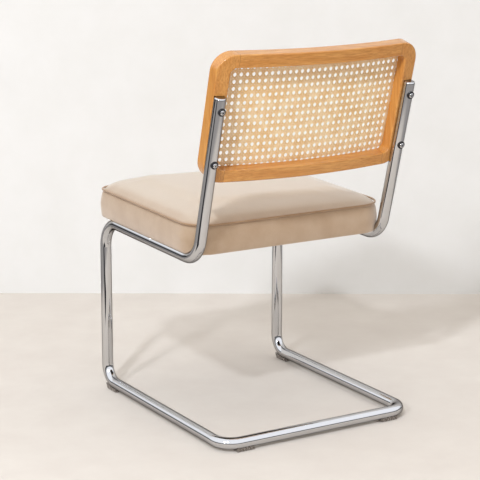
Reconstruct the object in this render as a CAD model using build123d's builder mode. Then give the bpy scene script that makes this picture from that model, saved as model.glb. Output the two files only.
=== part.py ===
"""A cantilever dining chair: a bent steel tube frame, a padded seat and a caned beech back.

Millimetres, +Z up. The chair faces -Y and the sitter's left is +X. The origin lies on the floor,
below the middle of the chair's box. The frame has no moving part: its spring is the tube itself.
"""

import os
from math import cos, radians, sin

from build123d import *

os.makedirs("parts", exist_ok=True)

# Tube frame
tube_diameter = 25.0
tube_wall = 2.0
frame_width = 460.0
base_depth = 522.0
rail_height = 393.0
rail_slope = 1.25
floor_bend_radius = 40.0
corner_bend_radius = 40.0
seat_bend_radius = 60.0
upright_setback = 417.0
upright_lean = 14.7
upright_length = 359.0
splice_setback = 230.0
splice_edge_chamfer = 0.7
sleeve_length = 90.0
sleeve_wall = 2.0
splice_screw_spacing = 50.0
splice_screw_diameter = 5.0
splice_screw_length = 5.4
splice_screw_socket = 2.5
cap_thickness = 4.6
cap_edge_radius = 4.2
cap_plug_length = 14.0

# Floor glides
glide_height = 5.0
glide_width = 18.0
glide_length = 40.0
glide_wrap = 12.0
glide_edge_radius = 1.5
front_glide_toe = 8.0
front_glide_slant = 7.0
front_glide_heel = 54.0
rear_glide_inset = 48.0
glide_peg_diameter = 6.0
glide_peg_rise = 4.0
glide_peg_heel = 7.0

# Seat, measured along the rails from the front legs and up from the rail axes
seat_side_margin = 0.5
seat_rear_margin = 0.0
seat_overhang = 16.0
seat_front_corner = 32.0
seat_rear_corner = 56.0
seat_underside = 9.5
board_thickness = 15.0
side_belly_height = 40.0
side_bottom_inset = 1.4
side_top_inset = 0.9
piping_height = 72.5
piping_diameter = 5.6
piping_inset = 1.6
cover_thickness = 1.5
crown_height = 22.0
crown_run = 130.0
crown_sections = 4
dust_cover_thickness = 0.8
dust_cover_margin = 14.0
seat_screw_front = 100.0
seat_screw_inset = 97.0
seat_screw_diameter = 6.0
seat_screw_head_diameter = 10.0
seat_screw_head_height = 4.0
seat_screw_socket = 4.0
seat_screw_access_diameter = 12.0
tee_nut_barrel_diameter = 8.0
tee_nut_length = 9.5
tee_nut_flange_diameter = 17.0
tee_nut_flange_thickness = 1.5

# Caned back frame, measured up the uprights from where their axes meet the rails
back_side_margin = 0.0
back_height = 275.0
back_bottom = 174.0
back_thickness = 28.0
back_edge_offset = 7.5
back_bow = 19.5
stile_width = 31.0
top_rail_height = 28.5
bottom_rail_height = 26.5
back_outer_corner = 42.0
back_inner_corner = 14.0
back_edge_radius = 3.0
rail_joint_inset = 15.5
dowel_diameter = 8.0
dowel_length = 36.0
dowel_spacing = 11.0
dowel_depth = 10.0
cane_thickness = 1.2
cane_recess = 0.3
cane_columns = 24
cane_rows = 12
cane_eye_diameter = 8.0
groove_inset = 5.5
groove_width = 5.0
groove_depth = 8.0
back_screw_low = 222.0
back_screw_high = 336.0
back_screw_diameter = 6.0
back_screw_head_diameter = 10.6
back_screw_head_height = 3.3
back_screw_head_round = 2.2
back_screw_socket = 4.0
back_screw_socket_depth = 2.0
saddle_washer_diameter = 16.4
saddle_washer_rise = 1.4
saddle_washer_wrap = 3.0
insert_diameter = 9.0
insert_length = 13.0
insert_set_back = 0.5
insert_hole_spare = 1.5

# Clearances
fit_gap = 0.3
bore_gap = 0.2
hole_gap = 0.3
spare = 40.0

# Worked-out sizes and places
tube_radius = tube_diameter / 2
bore_radius = tube_radius - tube_wall
half_width = frame_width / 2
base_height = glide_height + tube_radius
lean = radians(upright_lean)
slope = radians(rail_slope)
seat_width = frame_width + tube_diameter + 2 * seat_side_margin
seat_depth = seat_overhang + upright_setback + seat_rear_margin
seat_screw_rear = upright_setback - seat_screw_inset
back_width = frame_width + tube_diameter + 2 * back_side_margin
back_top = back_bottom + back_height
rear_reach = (
    upright_setback * cos(slope) + back_top * sin(lean) + (back_bow - back_edge_offset) * cos(lean)
)
front_y = (seat_overhang - rear_reach) / 2
rear_y = front_y + base_depth
seat_middle = seat_depth / 2 - seat_overhang
board_top = seat_underside + board_thickness
cover_inset = piping_inset + piping_diameter / 2 + fit_gap
band_top = piping_height - piping_diameter / 2 - fit_gap
joint_reach = back_width / 2 - stile_width - rail_joint_inset
opening_width = back_width - 2 * stile_width
opening_height = back_height - top_rail_height - bottom_rail_height
opening_middle = back_bottom + bottom_rail_height + opening_height / 2
back_middle = back_bottom + back_height / 2
bow_radius = ((back_width / 2) ** 2 + back_bow**2) / (2 * back_bow)
bow_centre = back_bow - back_edge_offset - bow_radius

seat_plane = Plane(origin=(0, front_y, rail_height), x_dir=(1, 0, 0), z_dir=(0, sin(slope), cos(slope)))
back_foot = seat_plane.from_local_coords((0, upright_setback, 0))
back_plane = Plane(origin=back_foot, x_dir=(1, 0, 0), z_dir=(0, -cos(lean), sin(lean)))
bow_plane = Plane(
    origin=back_plane.from_local_coords((0, back_bottom - spare, 0)),
    x_dir=(1, 0, 0),
    z_dir=back_plane.y_dir,
)


def rail_point(side, setback, height=0.0):
    """A point over a rail's axis: side is 1 on the sitter's left and -1 on the right."""
    return seat_plane.from_local_coords((side * half_width, setback, height))


def upright_point(side, rise, forward=0.0):
    """A point beside an upright's axis, as far up it as rise."""
    return back_plane.from_local_coords((side * half_width, rise, forward))


def bent_tube(points, radii, outer, bore=0.0):
    """A round tube along straight runs joined by tangent bends; a bore of 0 leaves it solid."""
    with BuildLine() as path:
        FilletPolyline(*points, radius=radii)
    with BuildPart() as tube:
        with BuildSketch(Plane(origin=path.line @ 0, z_dir=path.line % 0)):
            Circle(outer)
            if bore:
                Circle(bore, mode=Mode.SUBTRACT)
        sweep(path=path.line)
    return tube.part


def save(builder, name):
    """Labels a finished piece and writes its file."""
    builder.part.label = name
    export_step(builder.part, f"parts/{name}.step")


# Lower frame: one bent tube from rail to rail round the floor
with BuildPart() as lower_frame:
    add(
        bent_tube(
            [
                rail_point(1, splice_setback),
                rail_point(1, 0),
                (half_width, front_y, base_height),
                (half_width, rear_y, base_height),
                (-half_width, rear_y, base_height),
                (-half_width, front_y, base_height),
                rail_point(-1, 0),
                rail_point(-1, splice_setback),
            ],
            [
                seat_bend_radius,
                floor_bend_radius,
                corner_bend_radius,
                corner_bend_radius,
                floor_bend_radius,
                seat_bend_radius,
            ],
            tube_radius,
            bore_radius,
        )
    )
    splice_ends = lower_frame.faces().filter_by(GeomType.PLANE)
    chamfer([end.outer_wire().edge() for end in splice_ends], length=splice_edge_chamfer)
    with BuildSketch(seat_plane):
        with Locations((half_width, seat_screw_front), (-half_width, seat_screw_front)):
            Circle(seat_screw_diameter / 2 + hole_gap)
    extrude(amount=tube_diameter, mode=Mode.SUBTRACT)
    with BuildSketch(seat_plane):
        with Locations((half_width, seat_screw_front), (-half_width, seat_screw_front)):
            Circle(seat_screw_access_diameter / 2)
    extrude(amount=-tube_diameter, mode=Mode.SUBTRACT)
    with BuildSketch(seat_plane):
        splice_hole = splice_setback - splice_screw_spacing / 2
        with Locations((half_width, splice_hole), (-half_width, splice_hole)):
            Circle(splice_screw_diameter / 2 + bore_gap)
    extrude(amount=-tube_diameter, mode=Mode.SUBTRACT)
    front_peg_y = front_y + front_glide_heel - glide_peg_heel
    rear_peg_x = half_width - rear_glide_inset
    with BuildSketch(Plane.XY):
        with Locations(
            (half_width, front_peg_y),
            (-half_width, front_peg_y),
            (rear_peg_x, rear_y),
            (-rear_peg_x, rear_y),
        ):
            Circle(glide_peg_diameter / 2 + hole_gap)
    extrude(amount=base_height, mode=Mode.SUBTRACT)
save(lower_frame, "lower_frame")

# Back tubes: the rear half of each rail, its bend and the leaning upright
with BuildPart() as left_back_tube:
    add(
        bent_tube(
            [rail_point(1, splice_setback), rail_point(1, upright_setback), upright_point(1, upright_length)],
            [seat_bend_radius],
            tube_radius,
            bore_radius,
        )
    )
    splice_end = left_back_tube.faces().filter_by(GeomType.PLANE).sort_by(Axis.Y)[0]
    chamfer(splice_end.outer_wire().edge(), length=splice_edge_chamfer)
    with BuildSketch(seat_plane):
        with Locations((half_width, seat_screw_rear)):
            Circle(seat_screw_diameter / 2 + hole_gap)
    extrude(amount=tube_diameter, mode=Mode.SUBTRACT)
    with BuildSketch(seat_plane):
        with Locations((half_width, seat_screw_rear)):
            Circle(seat_screw_access_diameter / 2)
    extrude(amount=-tube_diameter, mode=Mode.SUBTRACT)
    with BuildSketch(seat_plane):
        with Locations((half_width, splice_setback + splice_screw_spacing / 2)):
            Circle(splice_screw_diameter / 2 + bore_gap)
    extrude(amount=-tube_diameter, mode=Mode.SUBTRACT)
    with BuildSketch(back_plane):
        with Locations((half_width, back_screw_low), (half_width, back_screw_high)):
            Circle(back_screw_diameter / 2 + hole_gap)
    extrude(amount=tube_diameter, both=True, mode=Mode.SUBTRACT)
save(left_back_tube, "left_back_tube")

with BuildPart() as right_back_tube:
    add(mirror(left_back_tube.part, about=Plane.YZ, mode=Mode.PRIVATE))
save(right_back_tube, "right_back_tube")

# Splices: a sleeve inside each rail holds the two tubes in line
sleeve_radius = bore_radius - bore_gap
with BuildPart() as left_splice_sleeve:
    sleeve_start = rail_point(1, splice_setback - sleeve_length / 2)
    with BuildSketch(Plane(origin=sleeve_start, x_dir=(1, 0, 0), z_dir=seat_plane.y_dir)):
        Circle(sleeve_radius)
        Circle(sleeve_radius - sleeve_wall, mode=Mode.SUBTRACT)
    extrude(amount=sleeve_length)
    with BuildSketch(seat_plane):
        with Locations((half_width, splice_setback)):
            with GridLocations(0, splice_screw_spacing, 1, 2):
                Circle(splice_screw_diameter / 2 + bore_gap)
    extrude(amount=-tube_diameter, mode=Mode.SUBTRACT)
save(left_splice_sleeve, "left_splice_sleeve")

with BuildPart() as right_splice_sleeve:
    add(mirror(left_splice_sleeve.part, about=Plane.YZ, mode=Mode.PRIVATE))
save(right_splice_sleeve, "right_splice_sleeve")

with BuildPart() as splice_screws:
    with BuildSketch(seat_plane.offset(-tube_radius + bore_gap)):
        with Locations((0, splice_setback)):
            with GridLocations(frame_width, splice_screw_spacing, 2, 2):
                Circle(splice_screw_diameter / 2)
                RegularPolygon(splice_screw_socket / 2, 6, major_radius=False, mode=Mode.SUBTRACT)
    extrude(amount=splice_screw_length)
save(splice_screws, "splice_screws")

# Caps: a low domed lid on each upright, with a plug in the bore
with BuildPart() as left_tube_cap:
    with BuildSketch(Plane(origin=upright_point(1, upright_length), z_dir=back_plane.y_dir)):
        Circle(tube_radius)
    extrude(amount=cap_thickness)
    cap_lid = left_tube_cap.faces().filter_by(GeomType.PLANE).sort_by(Axis.Z)[-1]
    fillet(cap_lid.edges(), radius=cap_edge_radius)
    with BuildSketch(Plane(origin=upright_point(1, upright_length), z_dir=back_plane.y_dir)):
        Circle(bore_radius - bore_gap)
    extrude(amount=-cap_plug_length)
save(left_tube_cap, "left_tube_cap")

with BuildPart() as right_tube_cap:
    add(mirror(left_tube_cap.part, about=Plane.YZ, mode=Mode.PRIVATE))
save(right_tube_cap, "right_tube_cap")

# Space that the tubes need, for the grooves that take them
floor_run = bent_tube(
    [
        (half_width, front_y, rail_height / 2),
        (half_width, front_y, base_height),
        (half_width, 0, base_height),
    ],
    [floor_bend_radius],
    tube_radius + fit_gap,
)
crossbar_run = bent_tube(
    [
        (half_width, 0, base_height),
        (half_width, rear_y, base_height),
        (-half_width, rear_y, base_height),
        (-half_width, 0, base_height),
    ],
    [corner_bend_radius, corner_bend_radius],
    tube_radius + fit_gap,
)
left_seat_run = bent_tube(
    [
        (half_width, front_y, rail_height / 2),
        rail_point(1, 0),
        rail_point(1, upright_setback),
        upright_point(1, upright_length + cap_thickness + fit_gap),
    ],
    [seat_bend_radius, seat_bend_radius],
    tube_radius + fit_gap,
)

# Glides: plastic saddles under the front bends and the crossbar, each with a peg into the tube
with BuildPart() as front_left_glide:
    with BuildSketch(Plane.YZ.offset(half_width - glide_width / 2)):
        with BuildLine():
            Polyline(
                (front_y + front_glide_toe, glide_wrap),
                (front_y + front_glide_toe + front_glide_slant, 0),
                (front_y + front_glide_heel, 0),
                (front_y + front_glide_heel, glide_wrap),
                close=True,
            )
        make_face()
    extrude(amount=glide_width)
    fillet(front_left_glide.faces().sort_by(Axis.Z)[0].edges(), radius=glide_edge_radius)
    add(floor_run, mode=Mode.SUBTRACT)
    with BuildSketch(Plane.XY.offset(glide_height / 2)):
        with Locations((half_width, front_peg_y)):
            Circle(glide_peg_diameter / 2)
    extrude(amount=glide_height / 2 + tube_wall + glide_peg_rise)
save(front_left_glide, "front_left_glide")

with BuildPart() as front_right_glide:
    add(mirror(front_left_glide.part, about=Plane.YZ, mode=Mode.PRIVATE))
save(front_right_glide, "front_right_glide")

with BuildPart() as rear_left_glide:
    with Locations((rear_peg_x, rear_y, 0)):
        Box(glide_length, glide_width, glide_wrap, align=(Align.CENTER, Align.CENTER, Align.MIN))
    fillet(rear_left_glide.faces().sort_by(Axis.Z)[0].edges(), radius=glide_edge_radius)
    add(crossbar_run, mode=Mode.SUBTRACT)
    with BuildSketch(Plane.XY.offset(glide_height / 2)):
        with Locations((rear_peg_x, rear_y)):
            Circle(glide_peg_diameter / 2)
    extrude(amount=glide_height / 2 + tube_wall + glide_peg_rise)
save(rear_left_glide, "rear_left_glide")

with BuildPart() as rear_right_glide:
    add(mirror(rear_left_glide.part, about=Plane.YZ, mode=Mode.PRIVATE))
save(rear_right_glide, "rear_right_glide")


def seat_section(inset, height):
    """The seat's plan, drawn in by inset, at a height over the rails."""
    with BuildSketch(seat_plane.offset(height)) as section:
        with Locations((0, seat_middle)):
            Rectangle(seat_width - 2 * inset, seat_depth - 2 * inset)
        fillet(section.vertices().group_by(Axis.Y)[0], radius=seat_front_corner)
        fillet(section.vertices().group_by(Axis.Y)[-1], radius=seat_rear_corner)
    return section.sketch


def seat_form(sections):
    """A solid through seat plans, each given as an inset and a height."""
    with BuildPart() as form:
        loft([seat_section(inset, height) for inset, height in sections])
    return form.part


def side_sections(inset):
    """The side's profile: fullest at the belly, drawn in at the bottom and under the piping."""
    return [
        (side_bottom_inset + inset, seat_underside),
        (inset, side_belly_height),
        (side_top_inset + inset, band_top),
    ]


def crown_form(shrink):
    """The seat's crown inside the piping, drawn in and lowered by shrink."""
    steps = [step / (crown_sections - 1) for step in range(crown_sections)]
    sections = [
        (cover_inset + shrink + crown_run * step**2, band_top - shrink + crown_height * (2 - step) * step)
        for step in steps
    ]
    return seat_form(sections)


right_seat_run = mirror(left_seat_run, about=Plane.YZ)

# Seat board: plywood, grooved underneath where it sits on the tubes
with BuildPart() as seat_board:
    board_inset = side_bottom_inset + cover_thickness + fit_gap
    add(seat_section(board_inset, seat_underside))
    extrude(amount=board_thickness)
    add(left_seat_run, mode=Mode.SUBTRACT)
    add(right_seat_run, mode=Mode.SUBTRACT)
    screw_spots = [
        (side * half_width, setback) for side in (1, -1) for setback in (seat_screw_front, seat_screw_rear)
    ]
    with BuildSketch(seat_plane):
        with Locations(*screw_spots):
            Circle(tee_nut_barrel_diameter / 2 + bore_gap)
    extrude(amount=board_top, mode=Mode.SUBTRACT)
    with BuildSketch(seat_plane.offset(board_top)):
        with Locations(*screw_spots):
            Circle(tee_nut_flange_diameter / 2 + bore_gap)
    extrude(amount=-tee_nut_flange_thickness - bore_gap, mode=Mode.SUBTRACT)
save(seat_board, "seat_board")

# Seat foam: a block on the board, crowned inside the piping
with BuildPart() as seat_foam:
    add(seat_form(side_sections(cover_thickness + fit_gap)))
    split(bisect_by=seat_plane.offset(board_top + bore_gap), keep=Keep.TOP)
    add(crown_form(cover_thickness + fit_gap))
    add(left_seat_run, mode=Mode.SUBTRACT)
    add(right_seat_run, mode=Mode.SUBTRACT)
save(seat_foam, "seat_foam")

# Seat cover: a top panel, a side band and the piping sewn between them
with BuildPart() as seat_top_cover:
    add(crown_form(0.0))
    add(crown_form(cover_thickness), mode=Mode.SUBTRACT)
save(seat_top_cover, "seat_top_cover")

with BuildPart() as seat_side_band:
    add(seat_form(side_sections(0.0)))
    add(seat_form(side_sections(cover_thickness)), mode=Mode.SUBTRACT)
    add(left_seat_run, mode=Mode.SUBTRACT)
    add(right_seat_run, mode=Mode.SUBTRACT)
save(seat_side_band, "seat_side_band")

piping_path = seat_section(piping_inset, piping_height).face().outer_wire()
with BuildPart() as seat_piping:
    with BuildSketch(Plane(origin=piping_path @ 0, z_dir=piping_path % 0)):
        Circle(piping_diameter / 2)
    sweep(path=piping_path)
save(seat_piping, "seat_piping")

# Dust cover: a thin cloth under the board, between the rails
with BuildPart() as seat_dust_cover:
    with BuildSketch(seat_plane.offset(seat_underside - dust_cover_thickness)) as dust_cloth:
        with Locations((0, seat_middle)):
            Rectangle(
                frame_width - 2 * dust_cover_margin - tube_diameter / 2, seat_depth - 2 * seat_rear_corner
            )
        fillet(dust_cloth.vertices(), radius=dust_cover_margin)
    extrude(amount=dust_cover_thickness)
save(seat_dust_cover, "seat_dust_cover")

# Seat fasteners: screws up through the rails into tee nuts let into the board
with BuildPart() as seat_screws:
    head_seat = (bore_radius**2 - (seat_screw_head_diameter / 2) ** 2) ** 0.5 - bore_gap
    with BuildSketch(seat_plane.offset(head_seat)):
        with Locations(*screw_spots):
            Circle(seat_screw_head_diameter / 2)
            RegularPolygon(seat_screw_socket / 2, 6, major_radius=False, mode=Mode.SUBTRACT)
    extrude(amount=-seat_screw_head_height)
    with BuildSketch(seat_plane.offset(head_seat)):
        with Locations(*screw_spots):
            Circle(seat_screw_diameter / 2)
    extrude(amount=board_top - head_seat - tee_nut_flange_thickness)
save(seat_screws, "seat_screws")

with BuildPart() as seat_tee_nuts:
    with BuildSketch(seat_plane.offset(board_top)):
        with Locations(*screw_spots):
            Circle(tee_nut_flange_diameter / 2)
            Circle(seat_screw_diameter / 2 + bore_gap / 2, mode=Mode.SUBTRACT)
    extrude(amount=-tee_nut_flange_thickness)
    with BuildSketch(seat_plane.offset(board_top)):
        with Locations(*screw_spots):
            Circle(tee_nut_barrel_diameter / 2)
            Circle(seat_screw_diameter / 2 + bore_gap / 2, mode=Mode.SUBTRACT)
    extrude(amount=-tee_nut_length)
save(seat_tee_nuts, "seat_tee_nuts")


def bowed_slab(rear_depth, front_depth):
    """The space between two depths in front of the back's bowed rear face."""
    with BuildPart() as slab:
        with BuildSketch(bow_plane):
            with Locations((0, bow_centre)):
                Circle(bow_radius - rear_depth)
                Circle(bow_radius - front_depth, mode=Mode.SUBTRACT)
            Rectangle(back_width + spare, back_width, mode=Mode.INTERSECT)
        extrude(amount=back_height + 2 * spare)
    return slab.part


def back_panel(slab, margin, cut_margin=None):
    """The part of a slab over the back's opening, margin wider all round, with an optional cut-out."""
    with BuildPart() as panel:
        with BuildSketch(back_plane):
            with Locations((0, opening_middle)):
                RectangleRounded(
                    opening_width + 2 * margin, opening_height + 2 * margin, back_inner_corner + margin
                )
                if cut_margin is not None:
                    RectangleRounded(
                        opening_width + 2 * cut_margin,
                        opening_height + 2 * cut_margin,
                        back_inner_corner + cut_margin,
                        mode=Mode.SUBTRACT,
                    )
        extrude(amount=back_width / 4, both=True)
        add(slab, mode=Mode.INTERSECT)
    return panel.part


# Back frame, whole: a bowed beech ring with a front groove for the cane
groove_outer = groove_inset + groove_width
cane_seat = back_thickness - cane_recess - cane_thickness
with BuildPart() as back_ring:
    with BuildSketch(back_plane):
        with Locations((0, back_middle)):
            RectangleRounded(back_width, back_height, back_outer_corner)
        with Locations((0, opening_middle)):
            RectangleRounded(opening_width, opening_height, back_inner_corner, mode=Mode.SUBTRACT)
    extrude(amount=back_width / 4, both=True)
    add(bowed_slab(0, back_thickness), mode=Mode.INTERSECT)
    broad_faces = back_ring.faces().sort_by(SortBy.AREA)[-2:]
    fillet(broad_faces.edges(), radius=back_edge_radius)
    cane_rebate = bowed_slab(cane_seat - fit_gap, back_thickness + spare)
    cane_groove = bowed_slab(back_thickness - groove_depth, back_thickness + spare)
    add(back_panel(cane_rebate, groove_outer, 0.0), mode=Mode.SUBTRACT)
    add(back_panel(cane_groove, groove_outer, groove_inset), mode=Mode.SUBTRACT)


def joint_dowels(gap):
    """The dowels across the four joints between stiles and rails, with a gap round each."""
    with BuildPart() as dowels:
        for side in (1, -1):
            for rail_middle in (back_bottom + bottom_rail_height / 2, back_top - top_rail_height / 2):
                start = back_plane.from_local_coords(
                    (side * (joint_reach + dowel_length / 2 + gap), rail_middle, dowel_depth)
                )
                with BuildSketch(Plane(origin=start, x_dir=back_plane.y_dir, z_dir=(-side, 0, 0))):
                    with GridLocations(dowel_spacing, 0, 2, 1):
                        Circle(dowel_diameter / 2 + gap)
                extrude(amount=dowel_length + 2 * gap)
    return dowels.part


# Stiles: the ends of the frame with its corners, scooped for the tubes
joint_plane = Plane(origin=(joint_reach, 0, 0), z_dir=(1, 0, 0))
with BuildPart() as back_left_stile:
    add(back_ring.part)
    split(bisect_by=joint_plane, keep=Keep.TOP)
    add(left_seat_run, mode=Mode.SUBTRACT)
    add(joint_dowels(bore_gap), mode=Mode.SUBTRACT)
    with BuildSketch(back_plane):
        with Locations((half_width, back_screw_low), (half_width, back_screw_high)):
            Circle(insert_diameter / 2 + bore_gap)
    extrude(amount=tube_radius + insert_set_back + insert_length + insert_hole_spare, mode=Mode.SUBTRACT)
save(back_left_stile, "back_left_stile")

with BuildPart() as back_right_stile:
    add(mirror(back_left_stile.part, about=Plane.YZ, mode=Mode.PRIVATE))
save(back_right_stile, "back_right_stile")

# Rails: the long straight runs between the stiles
with BuildPart() as back_top_rail:
    add(back_ring.part)
    split(bisect_by=joint_plane, keep=Keep.BOTTOM)
    split(bisect_by=Plane(origin=(-joint_reach, 0, 0), z_dir=(1, 0, 0)), keep=Keep.TOP)
    rail_split = Plane(origin=back_plane.from_local_coords((0, opening_middle, 0)), z_dir=back_plane.y_dir)
    split(bisect_by=rail_split, keep=Keep.TOP)
    add(joint_dowels(bore_gap), mode=Mode.SUBTRACT)
save(back_top_rail, "back_top_rail")

with BuildPart() as back_bottom_rail:
    add(back_ring.part)
    split(bisect_by=joint_plane, keep=Keep.BOTTOM)
    split(bisect_by=Plane(origin=(-joint_reach, 0, 0), z_dir=(1, 0, 0)), keep=Keep.TOP)
    split(bisect_by=rail_split, keep=Keep.BOTTOM)
    add(joint_dowels(bore_gap), mode=Mode.SUBTRACT)
save(back_bottom_rail, "back_bottom_rail")

with BuildPart() as back_dowels:
    add(joint_dowels(0.0))
save(back_dowels, "back_dowels")

# Cane: one bowed sheet with an eye in each crossing gap, its edge turned down into the groove.
# The bow is taken in flats, one to each column of eyes.
cane_margin = groove_inset + fit_gap + cane_thickness
cane_pitch = opening_width / (cane_columns + 0.5)
cane_edges = [(column - cane_columns / 2 - 1) * cane_pitch for column in range(cane_columns + 3)]


def flat_slab(rear_depth, front_depth):
    """The bowed slab between two depths, in flats as wide as a column of eyes."""
    rear_arc = bow_radius - rear_depth
    front_arc = bow_radius - front_depth
    rear_points = [(u, bow_centre + (rear_arc**2 - u**2) ** 0.5) for u in cane_edges]
    front_points = [(u, bow_centre + (front_arc**2 - u**2) ** 0.5) for u in reversed(cane_edges)]
    with BuildPart() as slab:
        with BuildSketch(bow_plane):
            with BuildLine():
                Polyline(*rear_points, *front_points, close=True)
            make_face()
        extrude(amount=back_height + 2 * spare)
    return slab.part


with BuildPart() as cane_panel:
    add(back_panel(flat_slab(cane_seat, cane_seat + cane_thickness), cane_margin))
    with BuildSketch(back_plane):
        with Locations((0, opening_middle)):
            with GridLocations(cane_pitch, opening_height / (cane_rows + 0.5), cane_columns, cane_rows):
                Circle(cane_eye_diameter / 2)
    extrude(amount=back_width / 4, both=True, mode=Mode.SUBTRACT)
    cane_lip = flat_slab(back_thickness - groove_depth + fit_gap, cane_seat + cane_thickness)
    add(back_panel(cane_lip, cane_margin, groove_inset + fit_gap))
save(cane_panel, "cane_panel")

with BuildPart() as cane_spline:
    spline_slab = bowed_slab(back_thickness - groove_depth + fit_gap, back_thickness - cane_recess)
    add(back_panel(spline_slab, groove_outer - fit_gap, cane_margin + fit_gap))
save(cane_spline, "cane_spline")

# Back fasteners: screws through the uprights, on saddle washers, into threaded inserts in the stiles
back_screw_spots = [
    (side * half_width, rise) for side in (1, -1) for rise in (back_screw_low, back_screw_high)
]
washer_face = tube_radius + saddle_washer_rise
with BuildPart() as back_saddle_washers:
    with BuildSketch(back_plane.offset(-washer_face)):
        with Locations(*back_screw_spots):
            Circle(saddle_washer_diameter / 2)
            Circle(back_screw_diameter / 2 + hole_gap, mode=Mode.SUBTRACT)
    extrude(amount=saddle_washer_rise + saddle_washer_wrap)
    add(left_seat_run, mode=Mode.SUBTRACT)
    add(right_seat_run, mode=Mode.SUBTRACT)
save(back_saddle_washers, "back_saddle_washers")

with BuildPart() as back_screws:
    with BuildSketch(back_plane.offset(-washer_face)):
        with Locations(*back_screw_spots):
            Circle(back_screw_head_diameter / 2)
    extrude(amount=-back_screw_head_height)
    head_axis = Axis(back_plane.origin, back_plane.z_dir)
    head_rims = back_screws.edges().filter_by(GeomType.CIRCLE).group_by(head_axis)[0]
    fillet(head_rims, radius=back_screw_head_round)
    with BuildSketch(back_plane.offset(-washer_face - back_screw_head_height)):
        with Locations(*back_screw_spots):
            RegularPolygon(back_screw_socket / 2, 6, major_radius=False)
    extrude(amount=back_screw_socket_depth, mode=Mode.SUBTRACT)
    with BuildSketch(back_plane.offset(-washer_face)):
        with Locations(*back_screw_spots):
            Circle(back_screw_diameter / 2)
    extrude(amount=washer_face + tube_radius + insert_set_back + insert_length)
save(back_screws, "back_screws")

with BuildPart() as back_inserts:
    with BuildSketch(back_plane.offset(tube_radius + insert_set_back)):
        with Locations(*back_screw_spots):
            Circle(insert_diameter / 2)
            Circle(back_screw_diameter / 2 + bore_gap / 2, mode=Mode.SUBTRACT)
    extrude(amount=insert_length)
save(back_inserts, "back_inserts")
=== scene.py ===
# %% [markdown]
# A cantilever dining chair, dressed for its picture.
# One bent chrome tube carries a padded seat and a bowed beech back with a woven cane panel.
# The hard pieces come ready from the construction model, so this lesson gives them their finishes.
# The soft and woven pieces are modelled here: the cushion, its piping, its dust cover and the cane.

# %% Load the construction model
import math

import bmesh
import bpy
import numpy as np
from mathutils import Matrix, Vector


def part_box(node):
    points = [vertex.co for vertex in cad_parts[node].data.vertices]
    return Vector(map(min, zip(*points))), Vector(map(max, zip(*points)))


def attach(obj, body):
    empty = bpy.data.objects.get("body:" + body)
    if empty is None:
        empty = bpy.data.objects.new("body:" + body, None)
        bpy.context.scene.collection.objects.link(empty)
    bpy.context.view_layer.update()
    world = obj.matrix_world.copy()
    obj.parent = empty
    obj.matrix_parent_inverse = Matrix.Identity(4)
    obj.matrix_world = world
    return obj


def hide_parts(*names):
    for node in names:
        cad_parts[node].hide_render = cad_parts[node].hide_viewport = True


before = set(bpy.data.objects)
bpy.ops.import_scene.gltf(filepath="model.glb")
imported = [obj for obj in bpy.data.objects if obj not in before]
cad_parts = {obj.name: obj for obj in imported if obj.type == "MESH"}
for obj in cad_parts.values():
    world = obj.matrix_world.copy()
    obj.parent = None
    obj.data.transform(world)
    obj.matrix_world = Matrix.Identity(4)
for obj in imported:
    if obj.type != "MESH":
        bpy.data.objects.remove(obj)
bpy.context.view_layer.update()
bpy.ops.object.select_all(action="DESELECT")

# %% [markdown]
# Everything on this chair is set out from two slanted frames.
# The seat frame lies on the rails, with its origin between the tops of the front legs.
# The back frame leans with the uprights, and starts where their axes meet the rails.
# Working in those frames keeps each piece simple: it is modelled flat and then moved into place once.

# %% Seat frame and back frame
mm = 0.001
tube_radius = 12.5 * mm
rail_height = 393 * mm
rail_slope = math.radians(1.25)
upright_setback = 417 * mm
upright_lean = math.radians(14.7)
tube_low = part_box("lower_frame")[0]
front_leg_y = tube_low.y + tube_radius


def slanted_frame(origin, along, normal):
    """A matrix with X across the chair, Y along a slope and Z square to it."""
    across = Vector((1, 0, 0))
    turned = Matrix((across, along, normal)).transposed().to_4x4()
    return Matrix.Translation(origin) @ turned


rail_back = Vector((0, math.cos(rail_slope), -math.sin(rail_slope)))
rail_up = Vector((0, math.sin(rail_slope), math.cos(rail_slope)))
upright_up = Vector((0, math.sin(upright_lean), math.cos(upright_lean)))
upright_forward = Vector((0, -math.cos(upright_lean), math.sin(upright_lean)))
seat_frame = slanted_frame(Vector((0, front_leg_y, rail_height)), rail_back, rail_up)
back_origin = seat_frame @ Vector((0, upright_setback, 0))
back_frame = slanted_frame(back_origin, upright_up, upright_forward)
print("seat frame at", seat_frame.translation, "back frame at", back_frame.translation)

# %% [markdown]
# Colours are written as sRGB hex values, the way a paint card gives them.
# The shader works in linear light, so one function turns a hex value into linear numbers.
# A second small function adds one node with its settings and links, and every finish is built with it.
# A third lets one pattern set the colour and the roughness together, as marks and wear do.

# %% Colour and node helpers
def linear(hex_colour):
    """An sRGB hex colour as linear red, green, blue and alpha."""
    shares = [int(hex_colour[place:place + 2], 16) / 255 for place in (1, 3, 5)]
    return [s / 12.92 if s <= 0.04045 else ((s + 0.055) / 1.055) ** 2.4 for s in shares] + [1.0]


def add_node(tree, kind, inputs=None, **settings):
    """One node with its settings; each input is given a value or linked to another node's output."""
    node = tree.nodes.new(kind)
    for name, value in settings.items():
        setattr(node, name, value)
    for socket, value in (inputs or {}).items():
        if isinstance(value, bpy.types.NodeSocket):
            tree.links.new(value, node.inputs[socket])
        else:
            node.inputs[socket].default_value = value
    return node


def new_finish(name, **sockets):
    """A material with a Principled shader, and the shader's own constant values."""
    finish = bpy.data.materials.new(name)
    finish.use_nodes = True
    shader = finish.node_tree.nodes["Principled BSDF"]
    for socket, value in sockets.items():
        shader.inputs[socket.replace("_", " ")].default_value = value
    return finish, finish.node_tree, shader


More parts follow.
